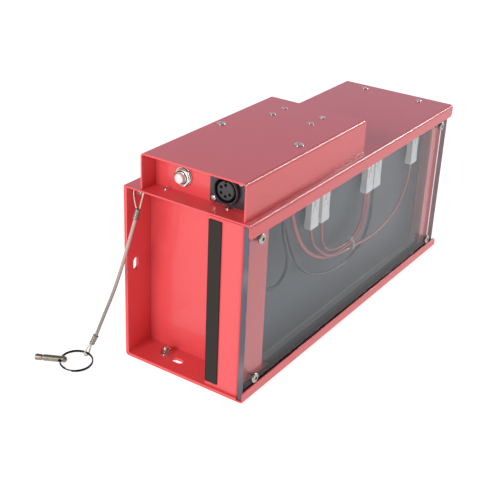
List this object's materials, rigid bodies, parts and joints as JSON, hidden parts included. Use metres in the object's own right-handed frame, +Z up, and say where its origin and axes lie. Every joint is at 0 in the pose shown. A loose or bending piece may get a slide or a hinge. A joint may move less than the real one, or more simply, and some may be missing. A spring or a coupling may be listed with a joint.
{
  "type": "fire alarm supply box",
  "caption": "Red sheet metal fire alarm supply box with a clear side window, an upper housing with a socket and push breaker, an open fixing bay and a lanyard with a pin.",
  "frame": {"origin": "on the floor under the middle of the box", "axes": "+X along the box away from the open fixing bay, -Y out of the window, +Z up"},
  "size_m": [0.4176, 0.1775, 0.1893],
  "materials": {
    "red_paint": "glossy powder coat",
    "window_plastic": "clear smoky sheet, 4.9 mm",
    "zinc_steel": "zinc plated screws, nuts and studs",
    "plated_steel": "bright plated washer and screws",
    "soft_rubber": "matt black rubber",
    "socket_black": "black coated shell",
    "socket_core": "dark grey moulded insulator",
    "contact_metal": "plated contacts and blades",
    "breaker_case": "black moulded case",
    "button_white": "white moulded button",
    "battery_case": "dark grey moulded case",
    "charger_case": "dark potted module",
    "plate_grey": "matt grey paint",
    "board_green": "coated circuit board",
    "relay_case": "blue moulded relay",
    "capacitor_can": "sleeved cans",
    "terminal_plastic": "green terminal block",
    "plug_white": "white moulded plug housings",
    "red_insulation": "red wire insulation",
    "black_insulation": "black wire insulation",
    "tie_nylon": "pale nylon tie",
    "cable_coat": "clear coated steel cable",
    "strand_steel": "stranded steel",
    "spring_steel": "dark spring steel"
  },
  "bodies": {
    "enclosure": {"outer_tray": "red_paint", "inner_chassis": "red_paint", "front_bulkhead": "red_paint", "rear_bulkhead": "red_paint", "lid": "red_paint", "housing_cover": "red_paint", "housing_panel": "red_paint", "window_panel": "window_plastic", "window_rivet_nuts": "zinc_steel", "housing_pillars": "zinc_steel", "pillar_screws": "zinc_steel", "board_screws": "zinc_steel", "board_standoffs": "zinc_steel", "ledge_screws": "zinc_steel", "lid_screws": "zinc_steel", "socket_nuts": "zinc_steel", "battery_clamps": "zinc_steel", "floor_screws": "zinc_steel", "plug_board_spacers": "zinc_steel", "bay_stud": "zinc_steel", "anchor_stud": "zinc_steel", "anchor_nut": "zinc_steel", "window_screws": "plated_steel", "socket_screws": "plated_steel", "breaker_washer": "plated_steel", "breaker_nut": "plated_steel", "bay_nut": "plated_steel", "edge_strip": "soft_rubber", "wire_grommet": "soft_rubber", "socket_shell": "socket_black", "socket_insert": "socket_core", "socket_contacts": "contact_metal", "breaker_blades": "contact_metal", "battery_blades": "contact_metal", "breaker_body": "breaker_case", "battery_case": "battery_case", "charger_module": "charger_case", "mounting_plate": "plate_grey", "control_board": "board_green", "plug_board": "board_green", "board_relay": "relay_case", "board_capacitors": "capacitor_can", "board_terminals": "terminal_plastic", "plug_headers": "plug_white", "plug_1": "plug_white", "plug_2": "plug_white", "plug_3": "plug_white", "plug_4": "plug_white", "plug_5": "plug_white", "red_wires": "red_insulation", "battery_lead": "red_insulation", "black_wires": "black_insulation", "cable_tie": "tie_nylon", "lanyard_cable": "cable_coat", "lanyard_upper_eye": "strand_steel", "lanyard_lower_eye": "strand_steel", "lanyard_ferrules": "strand_steel"},
    "breaker_button": {"breaker_button": "button_white"},
    "lanyard_ring": {"split_ring": "spring_steel"},
    "release_pin": {"release_pin": "spring_steel"}
  },
  "joints": [
    {"name": "button_press", "type": "slide", "parent": "enclosure", "child": "breaker_button", "axis": [1, 0, 0], "range_m": [0, 0.0022], "stiffness_N_per_m": 900},
    {"name": "ring_swing", "type": "hinge", "parent": "enclosure", "child": "lanyard_ring", "pos_m": [-0.20391, 0.08478, 0.0032], "axis": [-0.0349, 0.9994, 0], "range_deg": [0, 60]},
    {"name": "pin_swing", "type": "hinge", "parent": "lanyard_ring", "child": "release_pin", "pos_m": [-0.22389, 0.09631, 0.0028], "axis": [0.8829, 0.4695, 0], "range_deg": [0, 90]}
  ]
}
